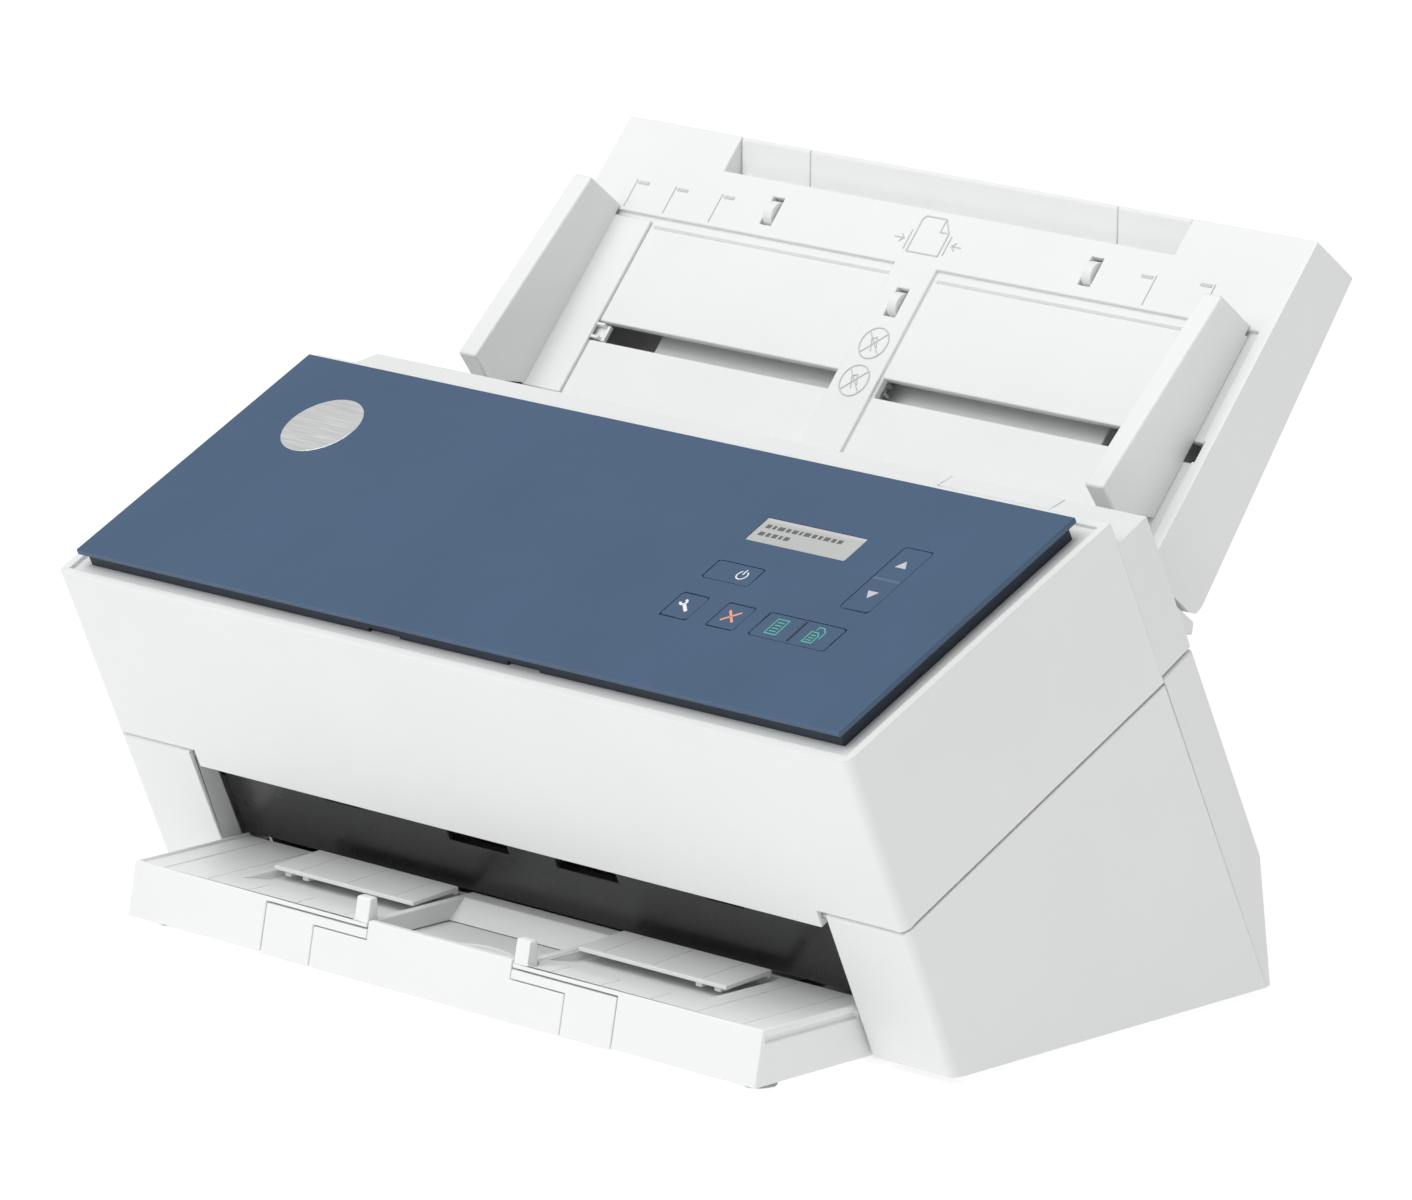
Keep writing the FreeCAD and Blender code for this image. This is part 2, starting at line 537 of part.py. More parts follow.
def control_panel():
    plate = top.block(-PANEL_W, PANEL_W, 0, PANEL_L, -PANEL_T, 0)
    holes = [rounded_key(x0, x1, s0, s1, -PANEL_T - 1, 1, 1.4) for x0, x1, s0, s1 in KEYS.values()]
    holes.append(rounded_key(*DISPLAY, -PANEL_T - 1, 1, 0.8))
    x, s, r = EMBLEM
    holes.append(top.boss(x, s, -0.8, 2, r + 0.05))
    save("control_panel_plate", cut(plate, *holes))
    save("emblem_disc", top.boss(x, s, -0.8, 0.15, r))
    skirt = top.block(-PANEL_W + 2.4, PANEL_W - 2.4, 2.2, PANEL_L - 2.2, -8.0, -PANEL_T)
    pocket = top.block(-PANEL_W + 4.6, PANEL_W - 4.6, 4.4, PANEL_L - 4.4, -6.8, -PANEL_T + 1)
    notches = [top.block(x - 7.5, x + 7.5, 0, 3.3, -9, -6.2) for x in (-34.5, 34.5)]
    save("control_panel_skirt", cut(skirt, pocket, *notches))
    x0, x1, s0, s1 = DISPLAY
    save("display_window", rounded_key(x0 + 0.1, x1 - 0.1, s0 + 0.1, s1 - 0.1, -1.6, -0.2, 0.7))
    module = top.block(x0 - 2, x1 + 2, s0 - 2, s1 + 2, -4.6, -2.3)
    board = top.block(62, 158, 26, 104, -6.4, -4.8)
    domes = []
    for name, (x0, x1, s0, s1) in KEYS.items():
        n1 = -PANEL_T
        cap = rounded_key(x0 + KEY_GAP, x1 - KEY_GAP, s0 + KEY_GAP, s1 - KEY_GAP, n1, 0, 1.2)
        centre_x = (x0 + x1) / 2.0
        centre_s = (s0 + s1) / 2.0
        spots = [(centre_x, centre_s)]
        pivot = []
        if name == "scan_rocker":
            spots = [(centre_x - 12, centre_s), (centre_x + 12, centre_s)]
            y, z = top.at(s0 - 2, PIVOT_N)
            pivot = [Part.makeCylinder(PIVOT_R, s1 - s0 + 4, V(centre_x, y, z), top.along()),
                     top.block(centre_x - 0.6, centre_x + 0.6, s0 + 1, s1 - 1, PIVOT_N, n1)]
        if name == "scroll_rocker":
            spots = [(centre_x, centre_s - 12), (centre_x, centre_s + 12)]
            pivot = [top.rod(centre_s, PIVOT_N, PIVOT_R, x0 - 2, x1 + 2),
                     top.block(x0 + 1, x1 - 1, centre_s - 0.6, centre_s + 0.6, PIVOT_N, n1)]
        stems = [top.boss(x, s, -3.0, n1, 1.5) for x, s in spots]
        domes += [top.boss(x, s, -4.8, -4.1, 2.5) for x, s in spots]
        save(name, fuse(cap, *stems, *pivot))
    save("panel_circuit_board", board, module, *domes)


def hatch_internals():
    guide = seam.block(-PATH, PATH, 16.0, 104.5, PAPER_N + PATH_GAP, PAPER_N + PATH_GAP + 2.6)
    slots = [seam.block(-PATH + 2, PATH - 2, UPPER_GLASS[0], UPPER_GLASS[1], -30, 0)]
    for s, kind in ((EXIT_S, "exit"), (FEED_S, "feed")):
        for x, w in TYRES[kind]:
            slots.append(seam.block(x - w / 2.0 - 1, x + w / 2.0 + 1, s - 7, s + 7, -30, 0))
    save("upper_paper_guide", cut(guide, *slots))
    glass = seam.block(-PATH + 2.2, PATH - 2.2, UPPER_GLASS[0] + 0.2, UPPER_GLASS[1] - 0.2,
                       PAPER_N + PATH_GAP + 0.1, PAPER_N + PATH_GAP + 2.4)
    save("upper_scan_glass", glass)
    module = seam.block(-PATH + 3, PATH - 3, UPPER_GLASS[0] - 3, UPPER_GLASS[1] + 3,
                        PAPER_N + PATH_GAP + 2.7, 18)
    groove = seam.block(-PATH + 6, PATH - 6, UPPER_GLASS[0] + 4, UPPER_GLASS[1] - 4, -10, 12)
    save("upper_scan_module", cut(module, groove))
    rail = seam.block(148.7, 150.7, 15.0, 104.0, PAPER_N + PATH_GAP + 2.6, 30.0)
    pinch_n = PAPER_N + PINCH_GAP + PINCH_R
    bores = [seam.rod(s, pinch_n, 2.0 + RUN_FIT, 140, 160) for s in (EXIT_S, FEED_S)]
    web = seam.block(-150.7, 150.7, 40.0, 54.0, 28.0, 30.0)
    rails = both_sides(cut(rail, *bores))
    save("hatch_frame", fuse(web, *rails))
    for name, s, kind in (("exit_pinch_roller", EXIT_S, "exit"), ("feed_pinch_roller", FEED_S, "feed")):
        shaft, rings = roller(seam, s, pinch_n, PINCH_R, TYRES[kind], -150.4, 150.4, 2.0)
        save(name, shaft, *rings)
    low = (-10.2, 98.9)
    high = (20.6, 151.2)
    ramp = Slope(low, math.degrees(math.atan2(high[1] - low[1], high[0] - low[0])))
    length = math.hypot(high[1] - low[1], high[0] - low[0])
    plate = ramp.block(-PATH, PATH, 0, length, 0, 2.5)
    sep_n = 0.2 + 2 * PINCH_GAP + SEP_R
    hole = tray.block(-35, 35, PICK_S - 12, PICK_S + 12, -5, 30)
    shaft, rings = roller(tray, PICK_S, sep_n, SEP_R, TYRES["pick"], -36, 36)
    save("separation_roller", shaft, *rings)
    holder = tray.block(-38.5, 38.5, PICK_S - 5, PICK_S + 5, sep_n - 5, sep_n + 13)
    space = tray.block(-35, 35, PICK_S - 12, PICK_S + 12, sep_n - 12, sep_n + 10.5)
    bearing = tray.rod(PICK_S, sep_n, SHAFT_R + RUN_FIT, -36.5, 36.5)
    save("inlet_upper_guide", cut(fuse(cut(plate, hole), cut(holder, space)), bearing))


# ---------------------------------------------------------------- input tray
IDLERS = [(-78.3, 50.1), (78.3, 50.1), (0.0, 24.3)]
IDLER_R = 5.0
IDLER_N = -3.1


def rear_n(s):
    share = (TRAY_TOP - s) / (TRAY_TOP - TRAY_LOW)
    return -TRAY_T_TOP - share * (TRAY_T_LOW - TRAY_T_TOP)


def tray_shell():
    outline = [(TRAY_TOP, 0), (TRAY_LOW, 0), (TRAY_LOW, -28.6), (TRAY_LOW + 1.3, -31.7),
               (TRAY_LOW + 4.5, rear_n(TRAY_LOW + 4.5)), (TRAY_TOP, rear_n(TRAY_TOP))]
    shell = tray.prism(outline, -TRAY_W, TRAY_W)
    top_n = -BED_DEPTH - SKIN
    cavity = [(TRAY_LOW + 3, top_n), (58.0, top_n), (58.0, -11.4), (74.6, -11.4), (74.6, rear_n(74.6) - 5),
              (TRAY_LOW + 3, rear_n(TRAY_LOW) - 5)]
    shell = cut(shell, tray.prism(cavity, -TRAY_W + WALL, TRAY_W - WALL))
    mouth = [(62.2, 1), (62.2, 0), (65.2, -8.6), (65.2, -21.0), (TRAY_TOP + 2, -21.0), (TRAY_TOP + 2, 1)]
    shell = cut(shell, tray.prism(mouth, -NOTCH_W, NOTCH_W))
    cuts = []
    for side in (-1, 1):
        lo, hi = sorted((side * STRIP_W, side * 163.4))
        cuts.append(tray.block(lo, hi, TRAY_LOW - 1, BED_TOP, -BED_DEPTH, 1))
        lo, hi = sorted((side * 11.0, side * ARM_SLOT_END))
        cuts.append(tray.block(lo, hi, ARM_SLOT[0], ARM_SLOT[1], -9, 1))
        lo, hi = sorted((side * (STRIP_W + 1.5), side * 131.0))
        cuts.append(tray.block(lo, hi, BED_TOP - 4.2, BED_TOP - 3.6, -BED_DEPTH - 0.5, 1))
    for x, s in IDLERS:
        cuts.append(tray.block(x - 2.9, x + 2.9, s - 5.8, s + 5.8, -9, 1))
        cuts.append(tray.rod(s, IDLER_N, 1.0 + RUN_FIT, x - 4.6, x + 4.6))
    shell = cut(shell, *cuts)
    post = tray.boss(0, ARM_MID, -9.6, top_n, 2.0)
    save("input_tray_shell", fuse(shell, post))


def tray_rear_cover():
    lo = TRAY_LOW + 5.0
    hi = 74.3
    outline = [(lo, rear_n(lo) + 2.5), (hi, rear_n(hi) + 2.5), (hi, rear_n(hi)), (lo, rear_n(lo))]
    cover = tray.prism(outline, -TRAY_W + WALL + 0.2, TRAY_W - WALL - 0.2)
    bar = [(lo, rear_n(lo) + 2.5), (lo + 3, rear_n(lo) + 2.5), (lo + 3, -5), (lo, -5)]
    tabs = [tray.prism(bar, x, x + 14) for x in (-160.0, 146.0)]
    save("input_tray_rear_cover", fuse(cover, *tabs))


def handle(x0, x1):
    """The gripping end of an extension, with its upright front wall."""
    outline = [(65.6, -8.6), (75.9, -0.2), (TRAY_TOP, -0.2), (TRAY_TOP, -20.0), (65.6, -20.0)]
    return tray.prism(outline, x0, x1)


def tray_extensions():
    slab = tray.block(-NOTCH_W + 0.4, NOTCH_W - 0.4, -40.0, 65.6, -20.0, -12.0)
    channel = tray.block(-STAGE2_W - 0.4, STAGE2_W + 0.4, -41.0, 80.0, -17.8, -13.8)
    first = fuse(slab, handle(-NOTCH_W + 0.4, NOTCH_W - 0.4))
    gate = tray.block(-STAGE2_W - 0.4, STAGE2_W + 0.4, 65.0, 80.0, -21, 2)
    save("tray_extension_1", cut(first, channel, gate))
    inner = tray.block(-STAGE2_W, STAGE2_W, -30.0, 65.6, -17.4, -14.2)
    save("tray_extension_2", fuse(inner, handle(-STAGE2_W, STAGE2_W)))


def tray_guides():
    outline = [(41.3, 0.3), (41.3, 19.6), (-41.0, 28.0), (-44.0, 17.6), (-43.4, 13.4), (-36.0, -0.6),
               (37.0, -0.6), (37.0, 0.3)]
    wall = tray.prism(outline, GUIDE_IN, GUIDE_IN + GUIDE_T)
    foot = tray.block(132.2, GUIDE_IN + GUIDE_T, -36.0, 37.4, -BED_DEPTH + 0.15, -0.1)
    post = tray.block(136.0, 148.0, ARM_SLOT[0] + 0.6, ARM_SLOT[1] - 0.6, -6.5, -1.0)
    clip = [tray.block(127.0, 137.0, ARM_SLOT[0] + 0.8, ARM_SLOT[1] - 0.8, -4.4, -3.0),
            tray.block(128.6, 134.0, ARM_SLOT[0] + 0.8, ARM_SLOT[0] + 2.0, -3.2, -0.9),
            tray.block(128.6, 134.0, ARM_SLOT[1] - 2.0, ARM_SLOT[1] - 0.8, -3.2, -0.9)]
    pitch = 2 * math.pi * PINION_R / PINION_TEETH
    for name, side in (("right_guide", 1), ("left_guide", -1)):
        base_s = ARM_MID - side * (PINION_R + TOOTH_H + 0.4)
        outer_s = base_s - side * 5.0
        lo, hi = sorted((base_s, outer_s))
        bar = tray.block(-13.0, 146.0, lo, hi, -8.6, -5.4)
        neck_lo, neck_hi = sorted((outer_s, ARM_MID + side * 3.4))
        neck = tray.block(137.0, 146.0, neck_lo, neck_hi, -8.6, -5.4)
        teeth = []
        for k in range(-3, 28):
            x = (k + 0.5) * pitch
            tip = ARM_MID - side * (PINION_R - TOOTH_H)
            lo, hi = sorted((tip, base_s - side * 0.5))
            teeth.append(tray.block(x - TOOTH_W / 2, x + TOOTH_W / 2, lo, hi, -8.6, -5.4))
        shape = fuse(wall, foot, post, neck, bar, *clip, *teeth)
        if side < 0:
            shape = shape.mirror(V(0, 0, 0), V(1, 0, 0))
        save(name, shape)


def guide_pinion():
    hub = tray.boss(0, ARM_MID, -8.4, -5.6, PINION_R - TOOTH_H - 0.3)
    teeth = []
    y, z = tray.at(ARM_MID, 0)
    for k in range(PINION_TEETH):
        tooth = tray.block(-TOOTH_W / 2, TOOTH_W / 2, ARM_MID + PINION_R - 2.5, ARM_MID + PINION_R + TOOTH_H,
                           -8.4, -5.6)
        tooth.rotate(V(0, y, z), tray.normal(), 360.0 * k / PINION_TEETH)
        teeth.append(tooth)
    bore = tray.boss(0, ARM_MID, -12, -2, 2.0 + RUN_FIT)
    save("guide_pinion", cut(fuse(hub, *teeth), bore))


def idlers():
    for name, (x, s) in zip(("left_tray_roller", "right_tray_roller", "centre_tray_roller"), IDLERS):
        wheel = tray.rod(s, IDLER_N, IDLER_R, x - 2.2, x + 2.2)
        axle = tray.rod(s, IDLER_N, 1.0, x - 4.3, x + 4.3)
        save(name, fuse(wheel, axle))


# ---------------------------------------------------------------- output tray
OUT_TOP = 22.4
WING_Z = 21.5
DRAWER_Z = 15.6
TROUGH_W = 40.0
FLAP_X = (41.2, 112.6)
FLAP_Y = (-110.4, -88.6)
FLAP_Z = (22.2, 23.9)
FLAP_AXIS = (-89.8, 23.6)


def front_lean(z, back):
    share = (z - OUT_FRONT_LOW[1]) / (OUT_FRONT_TOP[1] - OUT_FRONT_LOW[1])
    return OUT_FRONT_LOW[0] + share * (OUT_FRONT_TOP[0] - OUT_FRONT_LOW[0]) + back


def leaning_plate(x0, x1, z0, z1, thick):
    outline = [(front_lean(z0, 0), z0), (front_lean(z1, 0), z1), (front_lean(z1, thick), z1),
               (front_lean(z0, thick), z0)]
    return prism(outline, x0, x1)


def output_tray():
    body = prism([OUT_FRONT_LOW, OUT_FRONT_TOP, (OUT_REAR, OUT_TOP), (OUT_REAR, FOOT_H)], -OUT_W, OUT_W)
    drawer_w = EXT1_W + 0.5
    tools = [block(-drawer_w, drawer_w, -150, -134.2, 0, 20.6),
             block(-drawer_w, drawer_w, -140, OUT_REAR + 1, FOOT_H + 3, DRAWER_Z),
             block(-LIP_IN, LIP_IN, -150, -133.0, 0, 40),
             prism([(-134, DRAWER_Z - 1), (-134, 30), (-88, 30), (-90, OUT_TOP), (-99, DRAWER_Z - 1)],
                   -LIP_IN, LIP_IN)]
    for side in (-1, 1):
        lo, hi = sorted((side * TROUGH_W, side * (OUT_W - 1.4)))
        tools.append(block(lo, hi, -135.2, OUT_REAR + 1, WING_Z, 40))
        lo, hi = sorted((side * (FLAP_X[0] - 0.9), side * (FLAP_X[1] + 1.2)))
        tools.append(prism([(-124, WING_Z), (-111.5, 18.4), (-86.5, 18.4), (-86.5, 40), (-124, 40)], lo, hi))
        lo, hi = sorted((side * (OUT_W - 1.2), side * (OUT_W + 1)))
        tools.append(block(lo, hi, -135.6, -92.0, 17.6, 19.9))
        lo, hi = sorted((side * (drawer_w + 3), side * 138.0))
        tools.append(block(lo, hi, -134.0, OUT_REAR - 3, -1, DRAWER_Z - 0.6))
    body = cut(body, *tools)
    posts = []
    for side in (-1, 1):
        lo, hi = sorted((side * LIP_IN, side * (LIP_IN + 6.6)))
        posts.append(prism([(front_lean(20.8, 0.3), 20.8), (front_lean(30.6, 0.3), 30.6),
                            (front_lean(30.6, 3.6), 30.6), (front_lean(20.8, 5.6), 20.8)], lo, hi))
    save("output_tray", fuse(body, *posts))


def output_flaps():
    for name, side in (("right_output_flap", 1), ("left_output_flap", -1)):
        lo, hi = sorted((side * FLAP_X[0], side * FLAP_X[1]))
        outline = [(FLAP_Y[0], FLAP_Z[0]), (FLAP_Y[0], FLAP_Z[0] + 1.5), (FLAP_Y[1], FLAP_Z[1] + 1.2),
                   (FLAP_Y[1], FLAP_Z[1] - 0.6)]
        plate = prism(outline, lo, hi)
        lugs = [block(side * x - 1.5, side * x + 1.5, -109.0, -104.0, 20.4, 22.8) for x in (98.0, 107.0)]
        pin = rod(FLAP_AXIS[0], FLAP_AXIS[1] - 0.4, 1.0, lo, hi)
        save(name, fuse(plate, pin, *lugs))


def output_extensions():
    plates = [leaning_plate(x0, x1, 2.4, 20.0, 2.8) for x0, x1 in
              ((EXT2_W + 0.4, EXT1_W), (-EXT1_W, -EXT2_W - 0.4))]
    plates += [leaning_plate(x0, x1, 16.8, 20.0, 2.8) for x0, x1 in
               ((LIP_IN - 0.4, EXT2_W + 1), (-EXT2_W - 1, -LIP_IN + 0.4))]
    sheet = block(-84, 84, -134.6, 10, 13.2, 15.2)
    scoop = Part.makeCylinder(24.0, 8, V(0, -134.6, 10))
    rails = [block(x, x + 2.5, -137.2, 10, 7.0, 15.2) for x in (-84.0, 81.5)]
    rails += [block(x, x + 2.0, -137.2, 10, 8.5, 15.2) for x in (-65.4, 63.4)]
    ties = [block(lo, hi, -138.0, -133.0, 12.0, 15.2) for lo, hi in ((-84, -63.4), (63.4, 84))]
    risers = [block(lo, hi, -137.0, -134.8, 13.2, 19.5) for lo, hi in ((-84, -63.4), (63.4, 84))]
    first = fuse(cut(sheet, scoop), *(plates + rails + ties + risers))
    save("output_extension_1", first)
    low = leaning_plate(-EXT2_W, EXT2_W, 2.4, 16.4, 2.6)
    high = leaning_plate(-LIP_IN + 0.8, LIP_IN - 0.8, 16.0, 23.2, 2.6)
    slab = block(-61.5, 61.5, -138.4, 0, 8.6, 12.0)
    save("output_extension_2", fuse(low, high, slab))


# ---------------------------------------------------------------- build
os.makedirs("parts", exist_ok=True)
side_covers()
hinge_pins()
rear_cover()
chassis()
side_frames()
lower_guides()
exit_panel()
drive_train()
electronics()
bracket()
feet_and_screws()
hatch_shell()
hatch_rear_cover()
hatch_latch()
control_panel()
hatch_internals()
tray_shell()
tray_rear_cover()
tray_extensions()
tray_guides()
guide_pinion()
idlers()
output_tray()
output_flaps()
output_extensions()
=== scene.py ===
import bpy
import bmesh
import json
import math
from mathutils import Vector, Matrix


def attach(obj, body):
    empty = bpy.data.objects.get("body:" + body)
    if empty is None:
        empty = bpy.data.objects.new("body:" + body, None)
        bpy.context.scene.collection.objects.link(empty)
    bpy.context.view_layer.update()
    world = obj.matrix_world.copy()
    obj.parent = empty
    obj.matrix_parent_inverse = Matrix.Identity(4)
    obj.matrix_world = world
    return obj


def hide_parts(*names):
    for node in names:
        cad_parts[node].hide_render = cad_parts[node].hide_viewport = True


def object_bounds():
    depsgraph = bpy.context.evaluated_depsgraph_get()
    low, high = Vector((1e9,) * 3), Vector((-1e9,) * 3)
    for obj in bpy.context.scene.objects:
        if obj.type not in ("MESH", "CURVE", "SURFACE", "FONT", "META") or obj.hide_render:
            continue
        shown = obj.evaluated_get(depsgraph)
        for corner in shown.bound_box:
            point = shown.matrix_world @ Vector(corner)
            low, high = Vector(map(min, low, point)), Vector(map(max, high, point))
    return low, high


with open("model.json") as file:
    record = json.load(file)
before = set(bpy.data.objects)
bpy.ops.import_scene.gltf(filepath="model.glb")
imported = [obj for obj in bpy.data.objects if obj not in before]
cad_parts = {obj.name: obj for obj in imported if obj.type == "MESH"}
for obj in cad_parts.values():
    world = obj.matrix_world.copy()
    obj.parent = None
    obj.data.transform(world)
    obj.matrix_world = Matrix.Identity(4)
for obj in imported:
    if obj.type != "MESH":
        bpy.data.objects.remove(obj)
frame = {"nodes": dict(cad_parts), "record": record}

CAD_BOX = [list(corner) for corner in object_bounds()]
MM = 0.001
RECORD = frame["record"]
BODIES = RECORD["behaviour"]["bodies"]
BODY_OF = {node: body for body, nodes in BODIES.items() for node in nodes}
SLOT_OF = {part["node"]: part["material_slot"] for part in RECORD["subparts"]}


# ---------------------------------------------------------------- the sloping frames of the machine
class Slope:
    """A tilted plane: x across, s up the slope, n out of it, in millimetres."""

    def __init__(self, y, z, tilt):
        self.y = y
        self.z = z
        self.c = math.cos(math.radians(tilt))
        self.k = math.sin(math.radians(tilt))

    def at(self, x, s, n=0.0):
        return Vector((x, self.y + s * self.c - n * self.k, self.z + s * self.k + n * self.c)) * MM

    def flat(self, point):
        """(s, n) in millimetres of a point in metres."""
        dy = point.y / MM - self.y
        dz = point.z / MM - self.z
        return dy * self.c + dz * self.k, dz * self.c - dy * self.k


panel = Slope(-133.7, 129.4, 25.3)      # the control panel's top face, from its front edge
tray = Slope(72.4, 194.0, 49.86)        # the input tray's bed
level = Slope(0.0, 0.0, 0.0)


# ---------------------------------------------------------------- materials
def new_material(name):
    material = bpy.data.materials.new(name)
    material.use_nodes = True
    shader = material.node_tree.nodes["Principled BSDF"]
    return material, material.node_tree, shader


def noise(tree, scale, detail=2.0, stretch=None):
    coords = tree.nodes.new("ShaderNodeTexCoord")
    node = tree.nodes.new("ShaderNodeTexNoise")
    node.inputs["Scale"].default_value = scale
    node.inputs["Detail"].default_value = detail
    if stretch:
        mapping = tree.nodes.new("ShaderNodeMapping")
        mapping.inputs["Scale"].default_value = stretch
        tree.links.new(coords.outputs["Object"], mapping.inputs["Vector"])
        tree.links.new(mapping.outputs["Vector"], node.inputs["Vector"])
    else:
        tree.links.new(coords.outputs["Object"], node.inputs["Vector"])
    return node.outputs["Fac"]


def spread(tree, value, low, high):
    """Maps the middle of a noise onto low..high."""
    node = tree.nodes.new("ShaderNodeMapRange")
    node.inputs["From Min"].default_value = 0.3
    node.inputs["From Max"].default_value = 0.7
    node.inputs["To Min"].default_value = low
    node.inputs["To Max"].default_value = high
    tree.links.new(value, node.inputs["Value"])
    return node.outputs["Result"]


def tint(tree, shader, value, dark, light):
    ramp = tree.nodes.new("ShaderNodeValToRGB")
    ramp.color_ramp.elements[0].position = 0.35
    ramp.color_ramp.elements[1].position = 0.65
    ramp.color_ramp.elements[0].color = (*dark, 1)
    ramp.color_ramp.elements[1].color = (*light, 1)
    tree.links.new(value, ramp.inputs["Fac"])
    tree.links.new(ramp.outputs["Color"], shader.inputs["Base Color"])


def bump(tree, shader, value, strength, depth_mm):
    node = tree.nodes.new("ShaderNodeBump")
    node.inputs["Strength"].default_value = strength
    node.inputs["Distance"].default_value = depth_mm * MM
    tree.links.new(value, node.inputs["Height"])
    tree.links.new(node.outputs["Normal"], shader.inputs["Normal"])


def shades(colour, shift):
    """The darker and the lighter tone of a colour."""
    return [c * (1 - shift) for c in colour], [min(1.0, c * (1 + shift)) for c in colour]


def moulded(name, colour, rough, grain=1500.0, depth=0.05, shift=0.03, specular=0.5):
    """Moulded plastic: spark-eroded grain, slow changes of tone and an uneven sheen."""
    material, tree, shader = new_material(name)
    dark, light = shades(colour, shift)
    tint(tree, shader, noise(tree, 22.0, 3.0), dark, light)
    sheen = spread(tree, noise(tree, 160.0, 3.0), rough - 0.04, rough + 0.04)
    tree.links.new(sheen, shader.inputs["Roughness"])
    bump(tree, shader, noise(tree, grain, 3.0), 0.35, depth)
    shader.inputs["Specular IOR Level"].default_value = specular
    return material


def metal(name, colour, rough, stretch, shift=0.08):
    """Drawn or brushed metal: fine streaks along one direction."""
    material, tree, shader = new_material(name)
    dark, light = shades(colour, shift)
    streaks = noise(tree, 60.0, 4.0, stretch)
    tint(tree, shader, streaks, dark, light)
    sheen = spread(tree, streaks, rough - 0.08, rough + 0.08)
    tree.links.new(sheen, shader.inputs["Roughness"])
    bump(tree, shader, streaks, 0.25, 0.02)
    shader.inputs["Metallic"].default_value = 1.0
    return material


def rubber(name, colour):
    """Dull rubber with a coarse grain."""
    material, tree, shader = new_material(name)
    dark = [c * 0.8 for c in colour]
    light = [c * 1.25 for c in colour]
    tint(tree, shader, noise(tree, 90.0, 4.0), dark, light)
    sheen = spread(tree, noise(tree, 300.0, 2.0), 0.72, 0.9)
    tree.links.new(sheen, shader.inputs["Roughness"])
    bump(tree, shader, noise(tree, 2600.0, 2.0), 0.5, 0.06)
    return material


def board_green(name):
    """Solder mask over copper tracks."""
    material, tree, shader = new_material(name)
    coords = tree.nodes.new("ShaderNodeTexCoord")
    cells = tree.nodes.new("ShaderNodeTexVoronoi")
    cells.distance = "MANHATTAN"
    cells.inputs["Scale"].default_value = 240.0
    tree.links.new(coords.outputs["Object"], cells.inputs["Vector"])
    tint(tree, shader, cells.outputs["Distance"], (0.012, 0.07, 0.035), (0.02, 0.16, 0.07))
    bump(tree, shader, cells.outputs["Distance"], 0.3, 0.03)
    shader.inputs["Roughness"].default_value = 0.32
    return material


def glassy(name, colour, alpha, rough):
    """Glass or clear plastic with a polished coat."""
    material, tree, shader = new_material(name)
    dark = [c * 0.94 for c in colour]
    tint(tree, shader, noise(tree, 30.0, 2.0), dark, colour)
    sheen = spread(tree, noise(tree, 120.0, 2.0), rough, rough + 0.05)
    tree.links.new(sheen, shader.inputs["Roughness"])
    shader.inputs["Alpha"].default_value = alpha
    shader.inputs["Coat Weight"].default_value = 0.6
    return material


WHITE = moulded("casing_white", (0.80, 0.812, 0.806), 0.42, depth=0.035, shift=0.008)
# painted shade: the embossed tray marks are white plastic, and this grey stands in for the shadows
# along their raised strokes
MARK_SHADE_GREY = moulded("mark_shade_grey", (0.58, 0.592, 0.588), 0.42, depth=0.01, shift=0.01)


def paint_material(name, colour, rough=0.5):
    return moulded(name, colour, rough, depth=0.01, shift=0.02)


INK_WHITE = paint_material("ink_white", (0.82, 0.82, 0.84))
INK_GREY = paint_material("ink_grey", (0.56, 0.54, 0.57))
INK_SALMON = paint_material("ink_salmon", (0.85, 0.35, 0.22))
INK_TEAL = paint_material("ink_teal", (0.10, 0.50, 0.38))
INK_DARK = paint_material("ink_dark", (0.13, 0.13, 0.14))
# painted highlight: a lighter blue for the light caught along the scroll rocker's ridge
RIDGE_HIGHLIGHT_BLUE = paint_material("ridge_highlight_blue", (0.09, 0.14, 0.22), 0.4)
MATERIALS = {
    "casing_white": WHITE,
    "inner_grey": moulded("inner_grey", (0.48, 0.5, 0.5), 0.55),
    "guide_black": moulded("guide_black", (0.03, 0.03, 0.033), 0.45),
    "exit_black": moulded("exit_black", (0.017, 0.017, 0.018), 0.3, depth=0.02, shift=0.1),
    "scan_glass": glassy("scan_glass", (0.65, 0.8, 0.78), 0.35, 0.04),
    "steel": metal("steel", (0.58, 0.59, 0.6), 0.34, (1, 30, 30)),
    "brass_gear": metal("brass_gear", (0.6, 0.42, 0.16), 0.3, (1, 30, 30)),
    "motor_case": moulded("motor_case", (0.05, 0.05, 0.055), 0.35, shift=0.1),
    "roller_rubber": rubber("roller_rubber", (0.05, 0.05, 0.055)),
    "pinch_grey": moulded("pinch_grey", (0.3, 0.31, 0.32), 0.45),
    "belt_rubber": rubber("belt_rubber", (0.03, 0.03, 0.03)),
    "foot_rubber": rubber("foot_rubber", (0.3, 0.31, 0.31)),
    "board_green": board_green("board_green"),
    "socket_black": moulded("socket_black", (0.025, 0.025, 0.026), 0.4),
    "panel_blue": moulded("panel_blue", (0.043, 0.092, 0.172), 0.38, grain=2200, depth=0.02),
    "skirt_navy": moulded("skirt_navy", (0.008, 0.017, 0.035), 0.4, shift=0.05),
    "emblem_silver": metal("emblem_silver", (0.93, 0.935, 0.94), 0.42, (1, 40, 1), shift=0.03),
    "display_glass": glassy("display_glass", (0.50, 0.52, 0.50), 1.0, 0.16),
}


# ---------------------------------------------------------------- pieces
def place(obj, body):
    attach(obj, body)
    return obj


WELD = 2e-6              # m, joins the doubled corners of the CAD mesh
FLAT_ANGLE = 0.6         # degrees, faces closer than this are one flat face
SHARP_ANGLE = 32         # degrees, edges sharper than this are rounded
BEVEL_ANGLE = 38.0       # degrees, the same limit for small pieces with no weights
SHARE_OF_EDGE = 0.45     # the most of a short edge's length that its rounding may take


